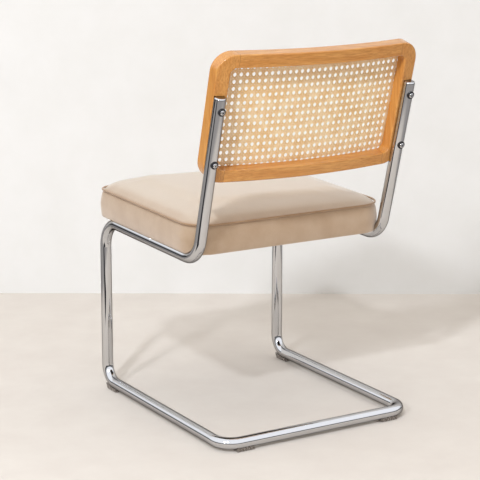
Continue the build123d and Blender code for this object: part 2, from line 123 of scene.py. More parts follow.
# Places of the colour sockets on a Mix node that mixes colours
mix_share, mix_first, mix_second, mix_result = 0, 6, 7, 2


def tone(tree, shader, reading, deep, pale, smooth, rough):
    """One reading of a pattern sets the colour, between two tones, and the roughness with it."""
    colour = add_node(
        tree,
        "ShaderNodeMix",
        {mix_share: reading, mix_first: linear(deep), mix_second: linear(pale)},
        data_type="RGBA",
    )
    dullness = add_node(tree, "ShaderNodeMapRange", {"Value": reading, "To Min": smooth, "To Max": rough})
    tree.links.new(colour.outputs[mix_result], shader.inputs["Base Color"])
    tree.links.new(dullness.outputs["Result"], shader.inputs["Roughness"])


print("white in linear light:", linear("#FFFFFF"))

# %% [markdown]
# The tube is polished steel plated with bright chrome: nickel under a very thin hard layer.
# It is nearly a mirror, so its look comes from what it reflects, and the studio below is made for that.
# A plain mirror looks unreal, so a faint polishing haze varies the roughness a little along the tube.

# %% Chrome plate
haze_size = 45 * mm
chrome, tree, shader = new_finish("bright_chrome_plate", Metallic=1.0)
shader.inputs["Base Color"].default_value = linear("#CBCBCC")
shader.inputs["Specular Tint"].default_value = linear("#6E6A68")
place = add_node(tree, "ShaderNodeTexCoord")
haze = add_node(
    tree,
    "ShaderNodeTexNoise",
    {"Vector": place.outputs["Object"], "Scale": 1 / haze_size, "Detail": 3.0},
)
gloss = add_node(
    tree,
    "ShaderNodeMapRange",
    {"Value": haze.outputs["Fac"], "From Min": 0.35, "From Max": 0.7, "To Min": 0.03, "To Max": 0.045},
)
tree.links.new(gloss.outputs["Result"], shader.inputs["Roughness"])
print("finish:", chrome.name)

# %% [markdown]
# The hidden fasteners are zinc-plated steel and turned brass, both duller than the chrome.
# Fine turning marks run round them, drawn here as a small noise in the roughness.

# %% Zinc and brass
def dull_metal(name, deep, pale, grain):
    """A plated or turned metal with fine uneven marks."""
    finish, tree, shader = new_finish(name, Metallic=1.0)
    place = add_node(tree, "ShaderNodeTexCoord")
    marks = add_node(
        tree,
        "ShaderNodeTexNoise",
        {"Vector": place.outputs["Object"], "Scale": 1 / grain, "Detail": 4.0},
    )
    tone(tree, shader, marks.outputs["Fac"], deep, pale, smooth=0.28, rough=0.5)
    return finish


zinc = dull_metal("zinc_plated_steel", "#A9ABAD", "#C2C3C6", 1.5 * mm)
brass = dull_metal("turned_brass", "#B8965A", "#D2B273", 1.2 * mm)
print("finishes:", zinc.name, brass.name)

# %% [markdown]
# The saddle washers are moulded polypropylene, black with a fine spark-eroded texture.
# The texture breaks the gloss, so it goes into both the bump and the roughness.

# %% Moulded black plastic
spark_texture = 0.8 * mm
black_plastic, tree, shader = new_finish("moulded_black_polypropylene", IOR=1.49)
place = add_node(tree, "ShaderNodeTexCoord")
sparks = add_node(
    tree,
    "ShaderNodeTexNoise",
    {"Vector": place.outputs["Object"], "Scale": 1 / spark_texture, "Detail": 2.0},
)
tone(tree, shader, sparks.outputs["Fac"], "#17171A", "#2A2A2E", smooth=0.38, rough=0.58)
pits = add_node(
    tree, "ShaderNodeBump", {"Strength": 0.25, "Distance": 0.1 * mm, "Height": sparks.outputs["Fac"]}
)
tree.links.new(pits.outputs["Normal"], shader.inputs["Normal"])
print("finish:", black_plastic.name)

# %% [markdown]
# The floor glides are moulded in clear polycarbonate, gone smoky and grey with use.
# Light passes through, so the shader transmits most of it, and fine scuffs dull the gloss in patches.

# %% Smoky clear plastic
scuff_size = 3 * mm
clear_plastic, tree, shader = new_finish("smoky_clear_polycarbonate", IOR=1.58, Transmission_Weight=0.55)
place = add_node(tree, "ShaderNodeTexCoord")
scuffs = add_node(
    tree,
    "ShaderNodeTexNoise",
    {"Vector": place.outputs["Object"], "Scale": 1 / scuff_size, "Detail": 3.0},
)
tone(tree, shader, scuffs.outputs["Fac"], "#857B72", "#A89E95", smooth=0.12, rough=0.4)
print("finish:", clear_plastic.name)

# %% [markdown]
# The back frame is steamed beech under a clear satin lacquer.
# Beech has a quiet growth figure, long and soft, and short dark ray flecks along the grain.
# The grain runs with the length of each member: across in the rails, upward in the stiles.
# So one function makes the finish, and a turn and a stretch set the way that the grain runs.
# Where a stile meets a rail the end grain drinks more lacquer, which leaves a thin dark glue line.

# %% Lacquered beech
joint_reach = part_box("back_top_rail")[1].x
glue_line_width = 0.5 * mm
glue_line_depth = 0.45
fibres_per_figure = 5.0
flecks_per_figure = 9.0


def lacquered_beech(name, stretch, turn):
    """Beech with its grain along the axis that is stretched most, after a turn about X."""
    finish, tree, shader = new_finish(name, IOR=1.5, Coat_Weight=1.0, Coat_Roughness=0.16)
    shader.inputs["Specular IOR Level"].default_value = 0.2
    place = add_node(tree, "ShaderNodeTexCoord")
    mapping = add_node(
        tree,
        "ShaderNodeMapping",
        {"Vector": place.outputs["Object"], "Rotation": (turn, 0, 0), "Scale": stretch},
    )
    grain = mapping.outputs["Vector"]
    figure = add_node(
        tree, "ShaderNodeTexNoise", {"Vector": grain, "Scale": 1.0, "Detail": 3.0, "Distortion": 0.6}
    )
    fibres = add_node(
        tree,
        "ShaderNodeTexNoise",
        {"Vector": grain, "Scale": fibres_per_figure, "Detail": 5.0, "Roughness": 0.65},
    )
    flecks = add_node(
        tree, "ShaderNodeTexVoronoi", {"Vector": grain, "Scale": flecks_per_figure, "Randomness": 1.0}
    )
    figure_share = add_node(
        tree, "ShaderNodeMapRange", {"Value": figure.outputs["Fac"], "From Min": 0.3, "From Max": 0.7}
    )
    fibre_share = add_node(
        tree,
        "ShaderNodeMapRange",
        {"Value": fibres.outputs["Fac"], "From Min": 0.42, "From Max": 0.7, "To Max": 0.8},
    )
    fleck = flecks.outputs["Distance"]
    fleck_share = add_node(
        tree,
        "ShaderNodeMapRange",
        {"Value": fleck, "From Min": 0.05, "From Max": 0.2, "To Min": 0.5, "To Max": 0.0},
    )
    across = add_node(tree, "ShaderNodeSeparateXYZ", {"Vector": place.outputs["Object"]})
    from_middle = add_node(tree, "ShaderNodeMath", {0: across.outputs["X"]}, operation="ABSOLUTE")
    on_joint = add_node(
        tree,
        "ShaderNodeMath",
        {0: from_middle.outputs[0], 1: joint_reach, 2: glue_line_width},
        operation="COMPARE",
    )
    glue_share = add_node(
        tree, "ShaderNodeMath", {0: on_joint.outputs[0], 1: glue_line_depth}, operation="MULTIPLY"
    )
    wood = linear("#CF8B3F")
    layers = [
        (figure_share.outputs["Result"], "#DDA155"),
        (fibre_share.outputs["Result"], "#AE6A2B"),
        (fleck_share.outputs["Result"], "#A8672E"),
        (glue_share.outputs[0], "#7A4A22"),
    ]
    for share, stain in layers:
        stained = add_node(
            tree,
            "ShaderNodeMix",
            {mix_share: share, mix_first: wood, mix_second: linear(stain)},
            data_type="RGBA",
        )
        wood = stained.outputs[mix_result]
    satin = add_node(
        tree, "ShaderNodeMapRange", {"Value": fibres.outputs["Fac"], "To Min": 0.36, "To Max": 0.5}
    )
    pores = add_node(
        tree, "ShaderNodeBump", {"Strength": 0.12, "Distance": 0.2 * mm, "Height": fibres.outputs["Fac"]}
    )
    tree.links.new(wood, shader.inputs["Base Color"])
    tree.links.new(satin.outputs["Result"], shader.inputs["Roughness"])
    tree.links.new(pores.outputs["Normal"], shader.inputs["Normal"])
    return finish


figure_width = 9 * mm
figure_length = 210 * mm
across_grain = 1 / figure_width
along_grain = 1 / figure_length
rail_grain = (along_grain, across_grain, across_grain)
stile_grain = (across_grain, across_grain, along_grain)
beech_rail = lacquered_beech("lacquered_beech_rail", rail_grain, upright_lean)
beech_stile = lacquered_beech("lacquered_beech_stile", stile_grain, upright_lean)
print("finishes:", beech_rail.name, beech_stile.name)

# %% [markdown]
# The seat board is birch plywood, bare under the chair.
# Its dull face grain runs from front to rear.

# %% Bare plywood
vein_width = 5 * mm
vein_length = 80 * mm
veneer = 1.5 * mm
plywood, tree, shader = new_finish("bare_birch_plywood", IOR=1.5)
place = add_node(tree, "ShaderNodeTexCoord")
face_grain = add_node(
    tree,
    "ShaderNodeMapping",
    {"Vector": place.outputs["Object"], "Scale": (1 / vein_width, 1 / vein_length, 1 / veneer)},
)
veins = add_node(
    tree, "ShaderNodeTexNoise", {"Vector": face_grain.outputs["Vector"], "Scale": 1.0, "Detail": 4.0}
)
tone(tree, shader, veins.outputs["Fac"], "#B8935F", "#D9BC8C", smooth=0.65, rough=0.85)
print("finish:", plywood.name)

# %% [markdown]
# The cane is the glossy bark of rattan, split into flat strands a few millimetres wide.
# Each strand keeps faint lengthwise fibres, and no two strands have quite the same tan.
# The strands carry a UV map with V along their length, so the fibres follow every strand.

# %% Rattan cane
strand_tone_size = 24 * mm
# The UV map is one unit wide and long on each strand, so these count fibres on a strand of 2.6 mm
fibres_across = 7.0
fibres_along = 18.0
cane, tree, shader = new_finish("split_rattan_cane", IOR=1.5)
place = add_node(tree, "ShaderNodeTexCoord")
fibre_place = add_node(
    tree,
    "ShaderNodeMapping",
    {"Vector": place.outputs["UV"], "Scale": (fibres_across, fibres_along, 1.0)},
)
fibres = add_node(
    tree, "ShaderNodeTexNoise", {"Vector": fibre_place.outputs["Vector"], "Scale": 1.0, "Detail": 3.0}
)
tones = add_node(
    tree,
    "ShaderNodeTexNoise",
    {"Vector": place.outputs["Object"], "Scale": 1 / strand_tone_size, "Detail": 2.0},
)
tone_share = add_node(
    tree, "ShaderNodeMapRange", {"Value": tones.outputs["Fac"], "From Min": 0.35, "From Max": 0.65}
)
bark = add_node(
    tree,
    "ShaderNodeMix",
    {
        mix_share: tone_share.outputs["Result"],
        mix_first: linear("#F0CB92"),
        mix_second: linear("#FBE4BA"),
    },
    data_type="RGBA",
)
fibre_share = add_node(
    tree,
    "ShaderNodeMapRange",
    {"Value": fibres.outputs["Fac"], "From Min": 0.4, "From Max": 0.75, "To Max": 0.6},
)
fibred = add_node(
    tree,
    "ShaderNodeMix",
    {mix_share: fibre_share.outputs["Result"], mix_first: bark.outputs[mix_result],
     mix_second: linear("#CD9850")},
    data_type="RGBA",
)
rough = add_node(
    tree, "ShaderNodeMapRange", {"Value": fibres.outputs["Fac"], "To Min": 0.36, "To Max": 0.55}
)
tree.links.new(fibred.outputs[mix_result], shader.inputs["Base Color"])
tree.links.new(rough.outputs["Result"], shader.inputs["Roughness"])
print("finish:", cane.name)

# %% [markdown]
# The seat is covered in a short-pile beige velvet.
# Its pile catches light at a grazing angle, which the shader's sheen gives.
# The pile lies in soft patches, where it was brushed one way or the other, so the colour drifts gently.
# What faces up is painted paler than the boxed sides: painted sheen and light from above on the top of
# the seat.
# Real pile is far finer than a pixel here, so the bump is drawn as coarse as it needs to show.

# %% Beige velvet
pile_patch = 60 * mm
pile_grain = 1.1 * mm


def pile_fabric(name, deep, pale, painted_top_tone, sheen):
    """A short-pile cloth whose colour drifts between two tones, with a paler third painted where it faces
    up as painted sheen.
    """
    finish, tree, shader = new_finish(name, IOR=1.45, Sheen_Weight=sheen, Sheen_Roughness=0.52)
    shader.inputs["Sheen Tint"].default_value = linear("#F9F8F8")
    shader.inputs["Specular IOR Level"].default_value = 0.25
    place = add_node(tree, "ShaderNodeTexCoord")
    patches = add_node(
        tree,
        "ShaderNodeTexNoise",
        {"Vector": place.outputs["Object"], "Scale": 1 / pile_patch, "Detail": 3.0, "Roughness": 0.55},
    )
    pile = add_node(
        tree,
        "ShaderNodeTexNoise",
        {"Vector": place.outputs["Object"], "Scale": 1 / pile_grain, "Detail": 2.0},
    )
    drift = add_node(
        tree, "ShaderNodeMapRange", {"Value": patches.outputs["Fac"], "From Min": 0.3, "From Max": 0.7}
    )
    facing = add_node(tree, "ShaderNodeNewGeometry")
    upward = add_node(tree, "ShaderNodeSeparateXYZ", {"Vector": facing.outputs["Normal"]})
    # Painted light: what faces up is painted paler, in place of sheen and light from above.
    painted_top_sheen_share = add_node(
        tree,
        "ShaderNodeMapRange",
        {"Value": upward.outputs["Z"], "From Min": 0.55, "From Max": 0.95, "To Max": 0.85},
        interpolation_type="SMOOTHSTEP",
    )
    speckle = add_node(
        tree,
        "ShaderNodeMapRange",
        {"Value": pile.outputs["Fac"], "From Min": 0.3, "From Max": 0.7, "To Min": 0.12, "To Max": 0.0},
    )
    cloth = linear(deep)
    layers = [
        (drift.outputs["Result"], pale),
        (painted_top_sheen_share.outputs["Result"], painted_top_tone),
        (speckle.outputs["Result"], "#8C6B4E"),
    ]
    for share, tint in layers:
        tinted = add_node(
            tree,
            "ShaderNodeMix",
            {mix_share: share, mix_first: cloth, mix_second: linear(tint)},
            data_type="RGBA",
        )
        cloth = tinted.outputs[mix_result]
    rough = add_node(
        tree, "ShaderNodeMapRange", {"Value": pile.outputs["Fac"], "To Min": 0.78, "To Max": 0.95}
    )
    nap = add_node(
        tree, "ShaderNodeBump", {"Strength": 0.18, "Distance": 0.3 * mm, "Height": pile.outputs["Fac"]}
    )
    tree.links.new(cloth, shader.inputs["Base Color"])
    tree.links.new(rough.outputs["Result"], shader.inputs["Roughness"])
    tree.links.new(nap.outputs["Normal"], shader.inputs["Normal"])
    return finish


velvet = pile_fabric("short_pile_beige_velvet", "#C2A485", "#D1B79B", "#E2D4C3", 1.0)
# The piping's copy of the velvet is drawn darker: painted shade along the seam.
piping_velvet_painted_shade = pile_fabric("piping_velvet_with_painted_shade", "#A98766", "#B99878", "#C2A384", 0.7)
print("finishes:", velvet.name, piping_velvet_painted_shade.name)

# %% [markdown]
# The dust cover under the seat is a thin black spun-bonded cloth.
# Its fibres are pressed in small dimples, which show as a fine regular texture.

# %% Spun-bonded dust cloth
dimple_spacing = 2.2 * mm
dust_cloth, tree, shader = new_finish("black_spun_bonded_cloth", IOR=1.45)
place = add_node(tree, "ShaderNodeTexCoord")
dimples = add_node(
    tree,
    "ShaderNodeTexVoronoi",
    {"Vector": place.outputs["Object"], "Scale": 1 / dimple_spacing, "Randomness": 0.3},
)
tone(tree, shader, dimples.outputs["Distance"], "#121213", "#2B2B2D", smooth=0.7, rough=0.95)
print("finish:", dust_cloth.name)

# %% [markdown]
# The hard nodes have the right shape already.
# So each one only gets the finish that it has on the real chair.

# %% Finishes on the hard nodes
node_finishes = {
    chrome: [
        "lower_frame",
        "left_back_tube",
        "right_back_tube",
        "left_tube_cap",
        "right_tube_cap",
        "back_screws",
    ],
    zinc: ["left_splice_sleeve", "right_splice_sleeve", "splice_screws", "seat_screws", "seat_tee_nuts"],
    brass: ["back_inserts"],
    clear_plastic: ["front_left_glide", "front_right_glide", "rear_left_glide", "rear_right_glide"],
    black_plastic: ["back_saddle_washers"],
    beech_stile: ["back_left_stile", "back_right_stile"],
    beech_rail: ["back_top_rail", "back_bottom_rail", "back_dowels"],
    cane: ["cane_spline"],
    plywood: ["seat_board"],
}
for finish, names in node_finishes.items():
    for name in names:
        for material_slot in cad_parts[name].material_slots:
            material_slot.material = finish
print("dressed", sum(len(names) for names in node_finishes.values()), "nodes")

# %% [markdown]
# The seat's plan is a rectangle with rounded corners, tighter at the front than at the rear.
# By hand that is a plane whose corner points are bevelled, first the front pair and then the rear pair.
# The same outline starts the cushion, the piping and the dust cover, so one function draws it.

# %% Seat outline
seat_width = 486 * mm
seat_depth = 433 * mm
seat_overhang = 16 * mm
seat_middle = seat_depth / 2 - seat_overhang
front_corner = 32 * mm
rear_corner = 56 * mm
corner_steps = 10
corner_margin = 1 * mm


def select_points(piece, test):
    """In edit mode, selects the points whose place passes the test, and nothing else."""
    mesh = bmesh.from_edit_mesh(piece.data)
    for part in (*mesh.faces, *mesh.edges, *mesh.verts):
        part.select = False
    for point in mesh.verts:
        point.select = test(point.co)
    mesh.select_flush(True)
    bmesh.update_edit_mesh(piece.data)


def seat_outline(name, width, depth, height, front_radius, rear_radius):
    """A flat rounded panel in the seat frame, left in edit mode with everything selected."""
    bpy.ops.object.select_all(action="DESELECT")
    bpy.ops.mesh.primitive_plane_add(size=1, location=(0, seat_middle, height))
    panel = bpy.context.object
    panel.name = name
    panel.data.name = name
    panel.scale = (width, depth, 1)
    bpy.ops.object.transform_apply(location=True, rotation=True, scale=True)
    bpy.ops.object.mode_set(mode="EDIT")
    bpy.ops.mesh.select_mode(type="VERT")
    near_end = depth / 2 - corner_margin
    select_points(panel, lambda co: co.y < seat_middle - near_end)
    bpy.ops.mesh.bevel(offset=front_radius, segments=corner_steps, affect="VERTICES")
    select_points(panel, lambda co: co.y > seat_middle + near_end)
    bpy.ops.mesh.bevel(offset=rear_radius, segments=corner_steps, affect="VERTICES")
    bpy.ops.mesh.select_all(action="SELECT")
    return panel


def to_frame(piece, place):
    """Moves a piece modelled in a slanted frame into the chair, with the place in its mesh."""
    bpy.ops.object.mode_set(mode="OBJECT")
    bpy.ops.object.select_all(action="DESELECT")
    piece.select_set(True)
    bpy.context.view_layer.objects.active = piece
    piece.matrix_world = place
    bpy.ops.object.transform_apply(location=True, rotation=True, scale=True)


print("seat outline", seat_width, "by", seat_depth, "m")

# %% [markdown]
# The cushion is a foam block in a sewn cover: boxed sides, a seam with piping, and a crowned top.
# It is built up from its underside as by hand: extrude and scale, up the side and then over the crown.
# The rings follow the side's belly first, then the crown, which is steep at the seam and flattens inward.
# The shape starts a little slack, because the stuffing swells it afterwards.

# %% Cushion, built up in rings
underside = 9.5 * mm
belly_height = 40 * mm
seam_height = 70 * mm
seam_inset = 3.4 * mm
crown_rise = 34 * mm
crown_run = 115 * mm
crown_rings = 7
slack = 1.5 * mm
bottom_inset = -1.0 * mm
cover_bottom = underside - 1 * mm
# Each ring: how far it lies inside the seat's plan, below zero where the side bulges, and its height
side_rings = [
    (-2.4 * mm, underside + 5 * mm),
    (-4.6 * mm, belly_height),
    (-0.8 * mm, seam_height - 4 * mm),
]
crown_steps = [ring / (crown_rings - 1) for ring in range(crown_rings)]
top_rings = [
    (seam_inset + crown_run * step**2, seam_height + (crown_rise - slack) * (2 - step) * step)
    for step in crown_steps
]
cushion_rings = [(inset + slack, height) for inset, height in side_rings + top_rings]
cushion = seat_outline(
    "seat_cushion",
    seat_width - 2 * bottom_inset,
    seat_depth - 2 * bottom_inset,
    cover_bottom,
    front_corner,
    rear_corner,
)
last_inset, last_height = bottom_inset, cover_bottom
for inset, height in cushion_rings:
    bpy.ops.mesh.extrude_region_move(TRANSFORM_OT_translate={"value": (0, 0, height - last_height)})
    bpy.ops.transform.resize(
        value=(
            (seat_width - 2 * inset) / (seat_width - 2 * last_inset),
            (seat_depth - 2 * inset) / (seat_depth - 2 * last_inset),
            1,
        ),
        center_override=(0, seat_middle, height),
    )
    last_inset, last_height = inset, height
bpy.ops.mesh.select_all(action="SELECT")
bpy.ops.mesh.normals_make_consistent(inside=False)
bpy.ops.object.mode_set(mode="OBJECT")
print("cushion cage:", len(cushion.data.polygons), "faces")

# %% [markdown]
# Some steps work on all the points of a mesh at once, so two functions read and set their places.
# A third adds a modifier and applies it, so that the mesh itself takes the shape.

# %% Mesh helpers
def points_of(piece):
    """The places of a mesh's points, one row each."""
    places = np.empty(len(piece.data.vertices) * 3)
    piece.data.vertices.foreach_get("co", places)
    return places.reshape(-1, 3)


def move_points(piece, places):
    """Gives a mesh's points new places."""
    piece.data.vertices.foreach_set("co", places.ravel())
    piece.data.update()


def finish_modifier(piece, kind, **settings):
    """Adds a modifier, sets it and applies it."""
    modifier = piece.modifiers.new(kind.lower(), kind)
    for name, value in settings.items():
        setattr(modifier, name, value)
    bpy.context.view_layer.objects.active = piece
    bpy.ops.object.modifier_apply(modifier=modifier.name)


print("cushion cage:", len(points_of(cushion)), "points")

# %% [markdown]
# A sewn cover pulls tight over foam, so it bulges between the lines where it is held.
# The cloth simulation does that: the mesh is remade in even cells, the seam and the underside are held,
# and a little pressure swells the rest.
# A cap keeps each point near its start, so the seat keeps its size.

# %% Cushion, swelled by its stuffing
cell_size = 5 * mm
smooth_share = 0.5
cell_smoothing = 4
seam_band = 5 * mm
board_band = 3 * mm
stuffing_pressure = 4.0
swell_cap = 4 * mm
least_move = 1e-9
last_frame = 20
finish_modifier(cushion, "REMESH", mode="VOXEL", voxel_size=cell_size)
finish_modifier(cushion, "SMOOTH", factor=smooth_share, iterations=cell_smoothing)
slack_shape = points_of(cushion)
held = cushion.vertex_groups.new(name="held")
near_seam = np.abs(slack_shape[:, 2] - seam_height) < seam_band
on_board = slack_shape[:, 2] < underside + board_band
held_points = np.flatnonzero(near_seam | on_board)
held.add(held_points.tolist(), 1.0, "REPLACE")
stuffing = cushion.modifiers.new("stuffing", "CLOTH")
stuffing.settings.use_pressure = True
stuffing.settings.uniform_pressure_force = stuffing_pressure
stuffing.settings.effector_weights.gravity = 0.0
stuffing.settings.vertex_group_mass = held.name
stuffing.point_cache.frame_start = 1
stuffing.point_cache.frame_end = last_frame
for frame_number in range(1, last_frame + 1):
    bpy.context.scene.frame_set(frame_number)
bpy.context.view_layer.objects.active = cushion
bpy.ops.object.modifier_apply(modifier=stuffing.name)
bpy.context.scene.frame_set(1)
moves = points_of(cushion) - slack_shape
reach = np.linalg.norm(moves, axis=1, keepdims=True)
kept_share = np.minimum(1.0, swell_cap / np.maximum(reach, least_move))
move_points(cushion, slack_shape + moves * kept_share)
print("stuffing moved the cover by up to", round(reach.max() / mm, 1), "mm before the cap")
print("cushion:", len(cushion.data.polygons), "cells")

# %% [markdown]
# Foam irons small creases out of a crown, so the top is smoothed once more.
# This seat is a little fuller on its left, as a stuffed seat seldom comes out quite even.

# %% Cushion, smoothed and covered
crown_start = 4 * mm
crown_smoothing = 20
fuller_left = 5 * mm
crown = cushion.vertex_groups.new(name="crown")
crown_points = np.flatnonzero(slack_shape[:, 2] > seam_height + crown_start)
crown.add(crown_points.tolist(), 1.0, "REPLACE")
finish_modifier(
    cushion, "SMOOTH", factor=smooth_share, iterations=crown_smoothing, vertex_group=crown.name
)
fullness = points_of(cushion)
above_seam = np.clip((fullness[:, 2] - seam_height) / crown_rise, 0, 1)
fullness[:, 2] += fuller_left * above_seam * fullness[:, 0] / (seat_width / 2)
move_points(cushion, fullness)
finish_modifier(cushion, "SUBSURF", levels=1, render_levels=1)
bpy.ops.object.shade_smooth()
cushion.data.materials.append(velvet)
to_frame(cushion, seat_frame)
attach(cushion, "root")
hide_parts("seat_foam", "seat_top_cover", "seat_side_band")
print("cushion:", len(cushion.data.polygons), "faces")

# %% [markdown]
# The piping is a cord wrapped in the cover's cloth and sewn into the seam.
# Its line is the seat's outline without its face, turned into a curve.
# A round bevel then gives the cord its body.

# %% Piping
piping_radius = 2.4 * mm
piping_inset = 1.6 * mm
piping_height = 72.5 * mm
piping_steps = 4
piping = seat_outline(
    "seat_cord_piping",
    seat_width - 2 * piping_inset,
    seat_depth - 2 * piping_inset,
    piping_height,
    front_corner,
    rear_corner,
)
bpy.ops.mesh.delete(type="ONLY_FACE")
bpy.ops.object.mode_set(mode="OBJECT")
bpy.ops.object.convert(target="CURVE")
piping.data.bevel_depth = piping_radius
piping.data.bevel_resolution = piping_steps
bpy.ops.object.convert(target="MESH")
bpy.ops.object.shade_smooth()
piping.data.materials.clear()
# The piping takes the darker copy of the velvet, which is painted shade along the seam.
piping.data.materials.append(piping_velvet_painted_shade)
to_frame(piping, seat_frame)
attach(piping, "root")
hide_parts("seat_piping")
print("piping:", len(piping.data.polygons), "faces")

# %% [markdown]
# A thin black cloth is stretched under the seat board and hides its raw middle.
# It is cut flat, so it is a thin panel: inset for its hem, then let down a little where it sags.

# %% Dust cover
dust_width = 419.5 * mm
dust_depth = 321 * mm
dust_corner = 14 * mm
dust_thickness = 0.8 * mm
dust_sag = 1.5 * mm
dust_hem = 9 * mm
dust_height = underside - 1.1 * mm
sag_share = (0.6, 0.5, 1)
sharp_angle = math.radians(40)
dust_cover = seat_outline(
    "stretched_dust_cloth", dust_width, dust_depth, dust_height, dust_corner, dust_corner
)
bpy.ops.mesh.inset(thickness=dust_hem)
bpy.ops.mesh.extrude_region_move(TRANSFORM_OT_translate={"value": (0, 0, -dust_sag)})
bpy.ops.transform.resize(value=sag_share, center_override=(0, seat_middle, underside))
bpy.ops.object.mode_set(mode="OBJECT")
finish_modifier(dust_cover, "SOLIDIFY", thickness=dust_thickness, offset=0.0)
bpy.ops.object.shade_smooth_by_angle(angle=sharp_angle)
dust_cover.data.materials.append(dust_cloth)
to_frame(dust_cover, seat_frame)
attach(dust_cover, "root")
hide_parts("seat_dust_cover")
print("dust cover:", len(dust_cover.data.polygons), "faces")

# %% [markdown]
# The back is filled with six-way woven cane.
# Pairs of strands run up and across, and single strands run on both slants.
# The gaps between them are eight-sided holes. Each family of strands is one strip, copied by an array.
# The strips are laid flat here. Then they are woven, trimmed to the opening and bowed with the back.

# %% Cane strips, laid flat
hole_across = 13.84 * mm
hole_up = 15.3 * mm
first_row = 398.6 * mm
strand_width = 2.6 * mm
strand_thickness = 0.65 * mm
pair_spacing = 3.8 * mm
slant_width = 2.9 * mm
opening_width = 423 * mm
opening_low = 200.5 * mm
opening_high = 420.5 * mm
tucked_under = 6.5 * mm
cane_corner = 16 * mm
steps_per_hole = 4
half_cane = opening_width / 2 + tucked_under
cane_low = opening_low - tucked_under
cane_high = opening_high + tucked_under
cane_middle = (cane_low + cane_high) / 2
line_up = first_row + hole_up / 2


def cane_strip(name, width, length, steps):
    """One flat strand along Y in the back frame, with V of its UV map along its length."""
    bpy.ops.object.select_all(action="DESELECT")
    bpy.ops.mesh.primitive_grid_add(x_subdivisions=1, y_subdivisions=steps, size=1)
    strip = bpy.context.object
    strip.name = name
    strip.data.name = name
    strip.scale = (width, length, 1)
    bpy.ops.object.transform_apply(location=True, rotation=True, scale=True)
    finish_modifier(strip, "SOLIDIFY", thickness=strand_thickness, offset=0.0)
    return strip


def array_of(strip, count, offset):
    """Repeats a strip in a row, centred on where it was."""
    finish_modifier(
        strip,
        "ARRAY",
        count=count,
        use_relative_offset=False,
        use_constant_offset=True,
        constant_offset_displace=offset,
    )
    move_points(strip, points_of(strip) - np.array(offset) * (count - 1) / 2)


def trim_to_opening(strip):
    """Cuts a woven family of strands to the panel's edges and its slanted corners."""
    half_height = (cane_high - cane_low) / 2
    reach = (half_cane + half_height - cane_corner) / 2
    edges = [Vector((x, 0, 0)) for x in (half_cane, -half_cane)]
    edges += [Vector((0, y, 0)) for y in (half_height, -half_height)]
    edges += [Vector((x, y, 0)) for x in (reach, -reach) for y in (reach, -reach)]
    bpy.context.view_layer.objects.active = strip
    bpy.ops.object.mode_set(mode="EDIT")
    for edge in edges:
        bpy.ops.mesh.select_all(action="SELECT")
        bpy.ops.mesh.bisect(
            plane_co=edge + Vector((0, cane_middle, 0)),
            plane_no=edge.normalized(),
            use_fill=True,
            clear_outer=True,
        )
    bpy.ops.object.mode_set(mode="OBJECT")


columns = math.ceil(half_cane / hole_across) + 1
rows_up = math.floor((cane_high - line_up) / hole_up)
rows_down = math.floor((line_up - cane_low) / hole_up)
row_middle = line_up + (rows_up - rows_down) / 2 * hole_up
pairs_up = 2 * columns + 1
pairs_across = rows_up + rows_down + 1
uprights = cane_strip("cane_uprights", strand_width, cane_high - cane_low, pairs_across * steps_per_hole)
move_points(uprights, points_of(uprights) + np.array((0, cane_middle, 0)))
array_of(uprights, 2, (pair_spacing, 0, 0))
array_of(uprights, pairs_up, (hole_across, 0, 0))
crosswise = cane_strip("cane_crosswise", strand_width, pairs_up * hole_across, pairs_up * steps_per_hole)
bpy.ops.object.mode_set(mode="EDIT")
bpy.ops.mesh.select_all(action="SELECT")
bpy.ops.transform.rotate(value=math.radians(90), orient_axis="Z", center_override=(0, 0, 0))
bpy.ops.object.mode_set(mode="OBJECT")
move_points(crosswise, points_of(crosswise) + np.array((0, row_middle, 0)))
array_of(crosswise, 2, (0, pair_spacing, 0))
array_of(crosswise, pairs_across, (0, hole_up, 0))
print("cane pairs:", pairs_up, "up and", pairs_across, "across")

# %% [markdown]
# The slanted strands pass midway between neighbouring holes, one for each hole across.
# Each way starts as one long strip, turned to the slant of the lattice, and is then copied across.

# %% Slanted strands
slant = math.atan2(hole_across, hole_up)
steps_per_slant_hole = 6
slant_holes = pairs_across + 2
slant_steps = slant_holes * steps_per_slant_hole
slant_length = slant_holes * math.hypot(hole_across, hole_up)
slant_count = pairs_up + slant_holes + 1
slant_shift = (slant_count + 1) % 2 * hole_across / 2 + hole_across / 2
slant_row = line_up + round((cane_middle - line_up) / hole_up) * hole_up
slants = []
for name, way in (("cane_rising", 1), ("cane_falling", -1)):
    strip = cane_strip(name, slant_width, slant_length, slant_steps)
    places = points_of(strip)
    turned = places.copy()
    turned[:, 0] = places[:, 0] * math.cos(slant) + way * places[:, 1] * math.sin(slant)
    turned[:, 1] = -way * places[:, 0] * math.sin(slant) + places[:, 1] * math.cos(slant)
    move_points(strip, turned + np.array((slant_shift, slant_row, 0)))
    array_of(strip, slant_count, (hole_across, 0, 0))
    slants.append(strip)
print("slanted strands:", slant_count, "each way")

# %% [markdown]
# Weaving is a height for each point of a strand, worked out from its place in the lattice.
# Pairs pass over and under each other in turn. Rising strands pass over the uprights and under the
# crosswise pairs, and falling strands do the opposite.
# Webbing is pressed into its groove wet and never lies quite square, so the same step pulls it askew.
# Then it is trimmed and bent to the back's bow.

# %% Weave and bow
column_taper = 0.0145
column_drift = 4.8 * mm
row_tilt = 0.007
pair_wave = 0.38 * mm
slant_wave = 0.72 * mm
back_width = 485 * mm
back_bow = 19.5 * mm
back_edge_offset = 7.5 * mm
cane_depth = 27.1 * mm
bow_radius = ((back_width / 2) ** 2 + back_bow**2) / (2 * back_bow)
bow_centre = back_bow - back_edge_offset - bow_radius


